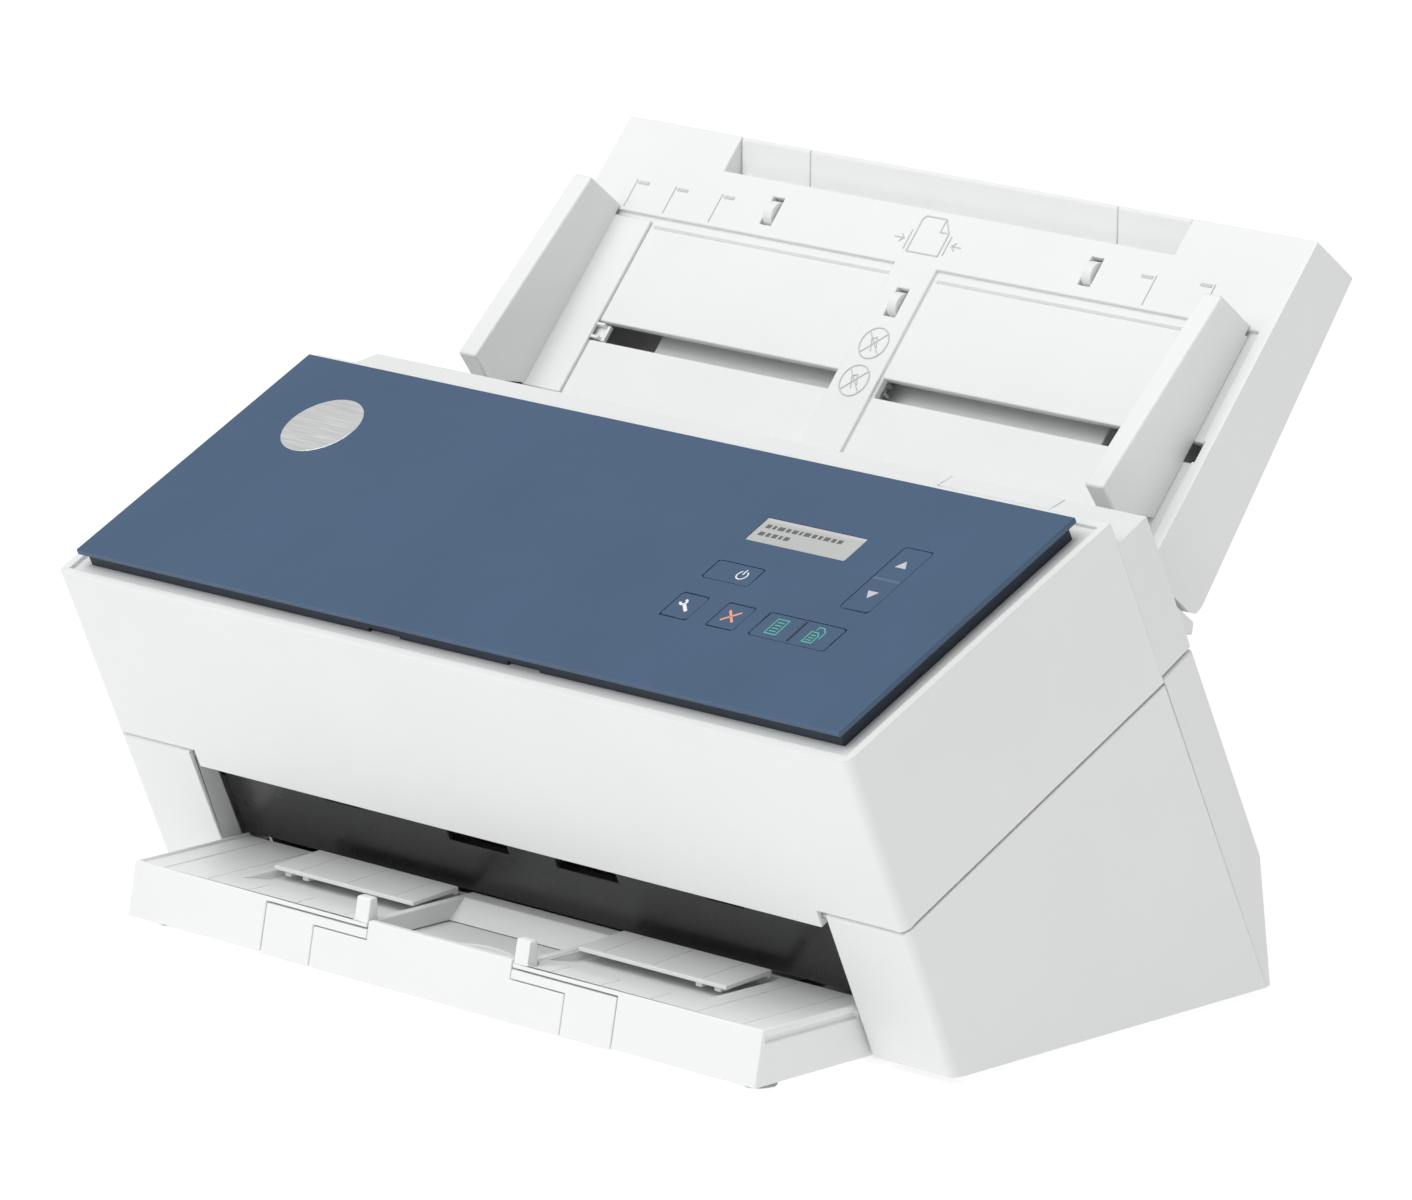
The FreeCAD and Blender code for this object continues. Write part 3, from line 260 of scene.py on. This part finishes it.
def add_bevel(obj, width, segments=2, by_weight=False):
    modifier = obj.modifiers.new("rounding", "BEVEL")
    modifier.width = width
    modifier.segments = segments
    modifier.use_clamp_overlap = not by_weight
    modifier.harden_normals = not by_weight
    modifier.limit_method = "WEIGHT" if by_weight else "ANGLE"
    modifier.angle_limit = math.radians(BEVEL_ANGLE)
    if by_weight:
        normals = obj.modifiers.new("even_normals", "WEIGHTED_NORMAL")
        normals.weight = 100
        normals.keep_sharp = True


def detailed(node, small, rounds=(), segments=2, keep=None):
    """A finished copy of a CAD node: flat faces joined, edges rounded by the radius that fits them.

    small is the usual radius in millimetres. rounds holds (test, radius) pairs; test gets an
    edge's middle and direction, in metres. keep, if given, limits the small rounding to the
    edges that pass it."""
    mesh = frame["nodes"][node].data.copy()
    obj = bpy.data.objects.new(node + "_finished", mesh)
    bpy.context.scene.collection.objects.link(obj)
    bm = bmesh.new()
    bm.from_mesh(mesh)
    bmesh.ops.remove_doubles(bm, verts=bm.verts, dist=WELD)
    flat = math.radians(FLAT_ANGLE)
    bmesh.ops.dissolve_limit(bm, angle_limit=flat, verts=bm.verts, edges=bm.edges)
    corners = [face for face in bm.faces if len(face.verts) > 4]
    bmesh.ops.triangulate(bm, faces=corners, quad_method="BEAUTY", ngon_method="BEAUTY")
    layers = bm.edges.layers.float
    weights = layers.get("bevel_weight_edge") or layers.new("bevel_weight_edge")
    widest = max([small] + [radius for _, radius in rounds])
    for edge in bm.edges:
        sharp = edge.is_manifold and edge.calc_face_angle(0.0) > math.radians(SHARP_ANGLE)
        edge.smooth = not sharp
        if not sharp:
            continue
        middle = (edge.verts[0].co + edge.verts[1].co) / 2
        run = (edge.verts[1].co - edge.verts[0].co).normalized()
        radius = small if keep is None or keep(middle, run) else 0.0
        for test, wanted in rounds:
            if test(middle, run):
                radius = wanted
        length = edge.calc_length() / MM
        edge[weights] = min(radius, length * SHARE_OF_EDGE) / widest
    for face in bm.faces:
        face.smooth = True
        face.material_index = 0
    bm.to_mesh(mesh)
    bm.free()
    mesh.materials.clear()
    mesh.materials.append(MATERIALS[SLOT_OF[node]])
    add_bevel(obj, widest * MM, segments, by_weight=True)
    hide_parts(node)
    return place(obj, BODY_OF[node])


def solid(name, outlines, to_point, n0, n1, body, slot_name, material, bevel=0.0):
    """Flat shapes raised from n0 to n1 on a sloping frame, as one piece."""
    mesh = bpy.data.meshes.new(name)
    bm = bmesh.new()
    for outline in outlines:
        sides = zip(outline, outline[1:] + outline[:1])
        area = sum(a[0] * b[1] - b[0] * a[1] for a, b in sides)
        ring = outline if area > 0 else outline[::-1]
        low = [bm.verts.new(to_point(x, s, n0)) for x, s in ring]
        high = [bm.verts.new(to_point(x, s, n1)) for x, s in ring]
        bm.faces.new(high)
        bm.faces.new(low[::-1])
        for i in range(len(ring)):
            j = (i + 1) % len(ring)
            bm.faces.new((low[i], low[j], high[j], high[i]))
    bm.normal_update()
    bmesh.ops.recalc_face_normals(bm, faces=bm.faces)
    bm.to_mesh(mesh)
    bm.free()
    obj = bpy.data.objects.new(name, mesh)
    bpy.context.scene.collection.objects.link(obj)
    mesh.materials.append(material)
    if bevel:
        add_bevel(obj, bevel * MM)
    return place(obj, body)


def box(x0, x1, s0, s1):
    return [(x0, s0), (x1, s0), (x1, s1), (x0, s1)]


def stroke(points, width, closed=False):
    """The quads of a drawn line, mitred where it turns."""
    half = width / 2.0
    count = len(points)
    sides = []
    for i, (x, s) in enumerate(points):
        before = points[i - 1] if closed or i > 0 else None
        after = points[(i + 1) % count] if closed or i < count - 1 else None
        normals = []
        for a, b in ((before, (x, s)), ((x, s), after)):
            if a is None or b is None:
                continue
            run = math.hypot(b[0] - a[0], b[1] - a[1])
            normals.append((-(b[1] - a[1]) / run, (b[0] - a[0]) / run))
        nx = sum(n[0] for n in normals)
        ns = sum(n[1] for n in normals)
        size = math.hypot(nx, ns)
        nx, ns = nx / size, ns / size
        reach = half / max(0.35, nx * normals[0][0] + ns * normals[0][1])
        sides.append(((x + nx * reach, s + ns * reach), (x - nx * reach, s - ns * reach)))
    quads = []
    for i in range(count if closed else count - 1):
        j = (i + 1) % count
        quads.append([sides[i][0], sides[i][1], sides[j][1], sides[j][0]])
    return quads


def arc(x, s, r, start, end, steps=28):
    angles = [math.radians(start + (end - start) * i / steps) for i in range(steps + 1)]
    return [(x + r * math.cos(a), s + r * math.sin(a)) for a in angles]


RING_SIDES = 36


def ring(x, s, r, width):
    turn = 360 - 360 / RING_SIDES
    return stroke(arc(x, s, r, 0, turn, RING_SIDES - 1), width, closed=True)


# ---------------------------------------------------------------- casing
HALF_WIDTH = CAD_BOX[1][0]                       # m
CORNER = 4.0 * MM                                # reach of the casing's rounded front corners
PANEL_EDGE = 7.5 * MM                            # in from the side, this close to the plate's end
PLATE_LENGTH = 124.8                             # mm up the slope


def off_corner_arcs(middle, run):
    """Leaves out the short edges that go round the two front corners of the casing."""
    return abs(middle.x) < HALF_WIDTH - CORNER or not 0.02 < abs(run.x) < 0.999


for side in ("right", "left"):
    detailed(side + "_side_cover", 0.4, keep=off_corner_arcs)
detailed("hatch_shell", 0.4, keep=off_corner_arcs)
detailed("rear_cover", 0.8, segments=3)
detailed("hatch_rear_cover", 0.5)
detailed("hatch_latch_lever", 0.35)


def plate_border(middle, run):
    """The outer edges of the control panel plate, and not the rims of its key openings."""
    s, n = panel.flat(middle)
    return abs(middle.x) > HALF_WIDTH - PANEL_EDGE or s < 0.5 or s > PLATE_LENGTH - 0.5


detailed("control_panel_plate", 0.35, keep=plate_border)
ROUNDINGS = {
    "control_panel_skirt": 0.3, "display_window": 0.12, "emblem_disc": 0.12,
    "power_button": 0.2, "tools_button": 0.2, "cancel_button": 0.2,
    "scan_rocker": 0.2, "scroll_rocker": 0.2, "exit_panel": 0.4,
    "input_tray_shell": 0.45, "input_tray_rear_cover": 0.5, "tray_bracket": 0.5,
    "tray_extension_1": 0.5, "tray_extension_2": 0.5,
    "output_tray": 0.45, "output_extension_1": 0.4, "output_extension_2": 0.4,
    "left_output_flap": 0.25, "right_output_flap": 0.25,
}
for node, radius in ROUNDINGS.items():
    detailed(node, radius)


def above_bed(middle, run):
    return tray.flat(middle)[1] > -1.6


def guide_outline(middle, run):
    return tray.flat(middle)[1] > 0.5


for side in ("left", "right"):
    detailed(side + "_guide", 0.3, [(guide_outline, 0.9)], segments=3, keep=above_bed)
INNER_ROUNDINGS = {
    "left_tray_roller": 0.3, "right_tray_roller": 0.3, "centre_tray_roller": 0.3,
    "rubber_feet": 0.6, "base_chassis": 0.4, "base_screws": 0.3,
    "inlet_ramp": 0.3, "inlet_upper_guide": 0.3,
    "upper_paper_guide": 0.25, "lower_paper_guide": 0.25,
    "side_frames": 0.2, "hatch_frame": 0.2, "latch_hook_shaft": 0.2, "latch_catches": 0.2,
    "rear_sockets": 0.25, "drive_motor": 0.4, "motor_pulley": 0.2, "guide_pinion": 0.12,
}
for node, radius in INNER_ROUNDINGS.items():
    detailed(node, radius)


def two_tone(node, joint, shaft_r, x_pulley=None):
    """Rollers: bright shaft, rubber tyres and, left of x_pulley, a pale pulley."""
    obj = detailed(node, 0.2)
    mesh = obj.data
    for material in (MATERIALS["steel"], MATERIALS["pinch_grey"]):
        mesh.materials.append(material)
    cy, cz = axis_of(joint)
    for face in mesh.polygons:
        corners = [mesh.vertices[v].co for v in face.vertices]
        far = max(math.hypot(co.y - cy, co.z - cz) for co in corners)
        if far < (shaft_r + 0.1) * MM:
            face.material_index = 1
        elif x_pulley is not None and face.center.x < x_pulley * MM:
            face.material_index = 2


def axis_of(joint):
    """The y and z of a joint's axis, in metres."""
    return next(j["pos_m"] for j in RECORD["behaviour"]["joints"] if j["name"] == joint)[1:]


PULLEY_X = -156
DRIVE_SHAFT_R = 3.0
PINCH_SHAFT_R = 2.0
two_tone("exit_drive_roller", "exit_roller_turn", DRIVE_SHAFT_R, PULLEY_X)
two_tone("feed_drive_roller", "feed_roller_turn", DRIVE_SHAFT_R, PULLEY_X)
two_tone("pick_roller", "pick_roller_turn", DRIVE_SHAFT_R, PULLEY_X)
two_tone("separation_roller", "separation_turn", DRIVE_SHAFT_R)
two_tone("exit_pinch_roller", "exit_pinch_turn", PINCH_SHAFT_R)
two_tone("feed_pinch_roller", "feed_pinch_turn", PINCH_SHAFT_R)

for node, obj in frame["nodes"].items():
    if not obj.hide_render:
        obj.data.materials.clear()
        obj.data.materials.append(MATERIALS[SLOT_OF[node]])


# ---------------------------------------------------------------- control panel
PAINT_LAYER = (-0.02, 0.03)          # printed marks, and strips of painted shade and painted highlight, from just under the surface to just over it
FINE = 0.42                  # line width of the small symbols


def paint_on_panel(name, outlines, body, material, slot_name="panel_blue"):
    solid(name, outlines, panel.at, *PAINT_LAYER, body, slot_name, material)


def turned(points, x, s, angle):
    """Points turned about their origin and moved to (x, s)."""
    c = math.cos(math.radians(angle))
    k = math.sin(math.radians(angle))
    return [(x + px * c - ps * k, s + px * k + ps * c) for px, ps in points]


def power_symbol(x, s):
    broken_ring = stroke(arc(x, s, 2.2, 122, 418), 0.55)
    return broken_ring + stroke([(x, s + 0.2), (x, s + 3.0)], 0.55)


def wrench_symbol(x, s, angle):
    jaw = stroke(turned(arc(0, 2.6, 1.25, 140, 400, 16), x, s, angle), 1.0)
    return jaw + stroke(turned([(0, 1.4), (0, -3.6)], x, s, angle), 1.3)


def cross_symbol(x0, x1, s0, s1):
    return stroke([(x0, s1), (x1, s0)], 0.9) + stroke([(x0, s0), (x1, s1)], 0.9)


def page_symbols():
    """A single page with four lines, and a page with three lines in front of another."""
    strokes = stroke(box(120.4, 125.6, 37.7, 45.5), FINE, closed=True)
    for row in range(4):
        s = 39.2 + 1.55 * row
        strokes += stroke([(121.5, s), (124.5, s)], FINE)
    front_page = [(137.9, 37.7), (142.3, 37.7), (142.3, 41.6), (141.0, 43.2), (137.9, 43.2)]
    strokes += stroke(front_page, FINE, closed=True)
    for row in range(3):
        s = 38.9 + 1.35 * row
        strokes += stroke([(138.9, s), (141.2, s)], FINE)
    back_page = [(139.3, 44.2), (139.3, 45.9), (141.6, 45.9), (143.6, 43.9), (143.6, 40.4)]
    return strokes + stroke(back_page, FINE)


def arrowheads(x, half, upper, lower):
    """Two triangles that point away from each other, each given as (base, tip)."""
    return [[(x - half, upper[0]), (x + half, upper[0]), (x, upper[1])],
            [(x - half, lower[0]), (x, lower[1]), (x + half, lower[0])]]


paint_on_panel("power_symbol", power_symbol(88.1, 62.2), "power_key", INK_WHITE)
paint_on_panel("tools_symbol", wrench_symbol(79.3, 41.5, 48), "tools_key", INK_WHITE)
paint_on_panel("cancel_symbol", cross_symbol(98.6, 104.2, 38.8, 44.4), "cancel_key", INK_SALMON)
paint_on_panel("scan_symbols", page_symbols(), "scan_key", INK_TEAL)
# painted shade: a thin dark navy strip stands in for the shade in the scan rocker's shallow groove
paint_on_panel("scan_groove_shade", [box(131.9, 133.0, 36.0, 47.2)], "scan_key", MATERIALS["skirt_navy"])
scroll_arrows = arrowheads(144.4, 2.5, (82.4, 86.2), (68.5, 64.7))
paint_on_panel("scroll_symbols", scroll_arrows, "scroll_key", INK_GREY)
# painted highlight: a flat lighter blue strip stands in for the light on the scroll rocker's ridge
paint_on_panel("scroll_ridge_highlight", [box(138.3, 150.5, 74.6, 75.8)], "scroll_key", RIDGE_HIGHLIGHT_BLUE)

DISPLAY_N = -0.21            # just under the display window's top
UPPER_BARS = (2.2, 1.4, 3.0, 1.8, 2.4, 1.2, 2.8, 2.0, 1.6, 2.6, 1.8, 2.2)
LOWER_BARS = (2.6, 1.8, 2.2, 1.4, 2.4)


def display_bars():
    """Two rows of plain bars in place of a message."""
    bars = []
    for s, widths in ((87.6, UPPER_BARS), (83.4, LOWER_BARS)):
        x = 76.0
        for width in widths:
            bars.append(box(x, x + width, s, s + 2.0))
            x += width + 1.0
    return bars


solid("display_marks", display_bars(), panel.at, DISPLAY_N, -0.17, "hatch", "display_glass",
      INK_DARK)
solid("display_shade", [box(73.6, 120.1, 91.2, 92.6)], panel.at, DISPLAY_N, -0.185, "hatch",
      "display_glass", INK_GREY)


# ---------------------------------------------------------------- marks on the input tray
EMBOSSED = 0.3               # height of the marks over the tray
HAIRLINE = 0.4


# the marks are raised over the tray, and their grey colour is painted shade of the embossed strokes
def mark(name, outlines):
    solid(name, outlines, tray.at, -0.05, EMBOSSED, "base", "casing_white", MARK_SHADE_GREY, 0.08)


# place of each sheet width's mark, its length, and the side that its short bar lies on
WIDTH_MARKS = ((-148.5, 11.5, 1), (-128.5, 11.5, 1), (-105.0, 12.0, 1),
               (107.95, 12.0, -1), (135.0, 13.0, -1), (139.7, 9.0, -1))
MARK_FOOT = 41.0
BAR_START, BAR_END = 1.2, 6.5
ticks = []
for x, length, side in WIDTH_MARKS:
    top = MARK_FOOT + length
    ticks += stroke([(x, MARK_FOOT), (x, top)], HAIRLINE)
    ends = sorted((x + side * BAR_START, x + side * BAR_END))
    ticks.append(box(*ends, top - 1.6, top - 0.4))
mark("width_marks", ticks)

sheet_outline = [(-7.6, 44.6), (7.6, 44.6), (7.6, 54.0), (3.4, 59.4), (-6.2, 59.4), (-7.6, 58.0)]
folded_corner = [(3.4, 59.4), (3.4, 54.0), (7.6, 54.0)]
sheet = stroke(sheet_outline, 0.5, closed=True)
sheet += stroke(folded_corner, HAIRLINE)
for side in (-1, 1):
    sheet += stroke([(side * 9.6, 45.2), (side * 9.6, 53.2)], HAIRLINE)
    sheet += stroke([(side * 16.2, 49.4), (side * 11.6, 49.4)], HAIRLINE)
    arrow = [(side * 13.4, 51.0), (side * 11.6, 49.4), (side * 13.4, 47.8)]
    sheet += stroke(arrow, HAIRLINE)
mark("sheet_mark", sheet)

# two crossed out rings, each with a simple clip in it
CROSS = 4.3
clip_shape = [(-1.2, -3.0), (-1.2, 2.2), (1.2, 2.2), (1.2, -2.2)]
for name, s in (("upper_care_mark", 7.0), ("lower_care_mark", -8.5)):
    lines = ring(0, s, 6.3, 0.5)
    lines += stroke([(-CROSS, s - CROSS), (CROSS, s + CROSS)], HAIRLINE)
    lines += stroke([(-CROSS, s + CROSS), (CROSS, s - CROSS)], HAIRLINE)
    lines += stroke(turned(clip_shape, 0, s, 25), HAIRLINE)
    mark(name, lines)


# ---------------------------------------------------------------- rear sockets and screw heads
def upright(x, z, y):
    """Points on the rear face: x across, z up, y backwards."""
    return Vector((x, y, z)) * MM


def under(x, y, z):
    """Points on the underside: x across, y back, z downwards."""
    return Vector((x, y, -z)) * MM


JACK_X, JACK_Z, PIN_R, PIN_SIDES = -150.0, 24.0, 0.9, 20
USB_X0, USB_X1, USB_Z0, USB_Z1 = -122.7, -117.3, 21.9, 26.6
CONTACT_THICK = 0.12
CROSS_LONG, CROSS_THIN = 1.7, 0.3
pin_turns = [a * math.tau / PIN_SIDES for a in range(PIN_SIDES)]
pin = [(JACK_X + PIN_R * math.cos(a), JACK_Z + PIN_R * math.sin(a)) for a in pin_turns]
solid("jack_pin", [pin], upright, 62.6, 69.8, "base", "steel", MATERIALS["steel"], 0.2)
tongue = box(USB_X0, USB_X1, USB_Z0, USB_Z1)
solid("usb_tongue", [tongue], upright, 63.6, 69.6, "base", "socket_black",
      MATERIALS["pinch_grey"], 0.25)
contacts = [box(x - 0.45, x + 0.45, z - CONTACT_THICK, z)
            for x in (-121.3, -118.7) for z in (21.9, 26.75)]
solid("usb_contacts", contacts, upright, 64.4, 69.2, "base", "brass_gear",
      MATERIALS["brass_gear"])
# painted shade: thin black crosses on the screw heads stand in for the shade in their cross
# recesses
cross_recess_shade = []
for x in (-183.0, 183.0):
    for y in (-40.0, 30.0):
        cross_recess_shade.append(box(x - CROSS_LONG, x + CROSS_LONG, y - CROSS_THIN, y + CROSS_THIN))
        cross_recess_shade.append(box(x - CROSS_THIN, x + CROSS_THIN, y - CROSS_LONG, y + CROSS_LONG))
solid("screw_cross_shade", cross_recess_shade, under, -1.42, -1.36, "base", "steel",
      MATERIALS["socket_black"])


# ---------------------------------------------------------------- ribs of the output tray
def rib(x, y0, y1):
    return box(x - 0.3, x + 0.3, y0, y1)


WING_Z = 21.5
INNER_RIBS = (52.0, 76.0, 100.0)
OUTER_RIBS = (122.0, 144.0)
RIB_FRONT, SHORT_RIB_END, LONG_RIB_END = -134.6, -124.6, -86.0
wing_ribs = []
for side in (-1, 1):
    wing_ribs += [rib(side * x, RIB_FRONT, SHORT_RIB_END) for x in INNER_RIBS]
    wing_ribs += [rib(side * x, RIB_FRONT, LONG_RIB_END) for x in OUTER_RIBS]
solid("wing_ribs", wing_ribs, level.at, WING_Z - 0.1, WING_Z + 0.3, "base", "casing_white",
      WHITE, 0.08)
flap_top = Slope(-110.4, 23.7, math.degrees(math.atan2(1.4, 21.8)))
for side, body in ((-1, "flap_left"), (1, "flap_right")):
    ribs = [rib(side * x, 0.5, 21.0) for x in INNER_RIBS]
    solid(body + "_ribs", ribs, flap_top.at, -0.1, 0.25, body, "casing_white", WHITE, 0.08)


# ---------------------------------------------------------------- camera, floor and light
TARGET = Vector((0.024148, -0.0279, 0.128217))                # the point that the camera looks at
BACK = Vector((0.68985, -0.68541, 0.23307)).normalized()      # from there towards the camera
DISTANCE = 3.3673
ROLL = math.radians(-0.269)
LENS = 248.3
SHIFT_X = -0.0049
right = BACK.cross(Vector((0, 0, 1))).normalized() * -1
up = BACK.cross(right)
if up.z < 0:
    up = -up
turned_right = right * math.cos(ROLL) + up * math.sin(ROLL)
turned_up = up * math.cos(ROLL) - right * math.sin(ROLL)
camera = bpy.data.objects.new("camera", bpy.data.cameras.new("camera"))
bpy.context.scene.collection.objects.link(camera)
place_of_camera = TARGET + BACK * DISTANCE
camera.matrix_world = Matrix((
    (turned_right.x, turned_up.x, BACK.x, place_of_camera.x),
    (turned_right.y, turned_up.y, BACK.y, place_of_camera.y),
    (turned_right.z, turned_up.z, BACK.z, place_of_camera.z),
    (0, 0, 0, 1)))
camera.data.sensor_width = 36.0
camera.data.lens = LENS
camera.data.shift_x = SHIFT_X
camera.data.clip_end = 100.0
bpy.context.scene.camera = camera

floor_mesh = bpy.data.meshes.new("floor")
floor_corners = [(x, y, 0) for x, y in box(-30, 30, -30, 30)]
floor_mesh.from_pydata(floor_corners, [], [(0, 1, 2, 3)])
floor = bpy.data.objects.new("floor", floor_mesh)
floor.location.z = -0.0002
bpy.context.scene.collection.objects.link(floor)
floor_white = moulded("floor", (0.3, 0.3, 0.3), 0.9, grain=300, depth=0.02, shift=0.004,
                      specular=0.0)
floor_glow = floor_white.node_tree.nodes["Principled BSDF"]
floor_glow.inputs["Emission Color"].default_value = (1, 1, 1, 1)
floor_glow.inputs["Emission Strength"].default_value = 0.84
floor_mesh.materials.append(floor_white)

world = bpy.data.worlds.new("studio")
bpy.context.scene.world = world
world.use_nodes = True
background = world.node_tree.nodes["Background"]
background.inputs["Color"].default_value = (1.0, 1.0, 1.0, 1)
background.inputs["Strength"].default_value = 0.5
bpy.context.scene.view_settings.view_transform = "Standard"


def area_light(name, position, size, power):
    lamp = bpy.data.lights.new(name, "AREA")
    lamp.size = size
    lamp.energy = power
    obj = bpy.data.objects.new(name, lamp)
    obj.location = position
    obj.rotation_euler = (TARGET - Vector(position)).to_track_quat("-Z", "Y").to_euler()
    bpy.context.scene.collection.objects.link(obj)


area_light("key", (-0.9, -2.4, 2.2), 1.6, 21.0)
area_light("overhead", (0.0, -1.2, 2.7), 2.0, 40.0)
